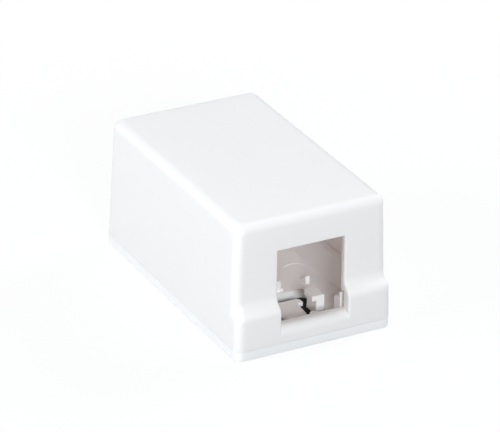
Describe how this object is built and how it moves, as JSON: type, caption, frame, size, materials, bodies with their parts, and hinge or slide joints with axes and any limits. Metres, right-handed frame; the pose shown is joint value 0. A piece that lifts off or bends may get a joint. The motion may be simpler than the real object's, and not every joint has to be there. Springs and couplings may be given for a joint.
{
  "type": "surface mount jack box",
  "caption": "Surface mount box for a keystone jack: a drafted snap-down cover with a jack opening in front and a cable notch behind, over a shallow base with foam tape and screw holes under it.",
  "frame": {"origin": "centre of the underside, on the surface that the box is stuck to", "axes": "+Z away from the mounting surface, -Y towards the side with the jack opening, +X to the right seen from that side"},
  "size_m": [0.0346, 0.058, 0.028],
  "materials": {
    "white_plastic": "satin moulded ABS",
    "black_foam": "matte foam tape"
  },
  "bodies": {
    "base": {"base": "white_plastic", "adhesive_pad": "black_foam"},
    "cover": {"cover": "white_plastic"}
  },
  "joints": [
    {"name": "cover_lift", "type": "slide", "parent": "base", "child": "cover", "axis": [0, 0, 1], "range_m": [0, 0.03]}
  ]
}
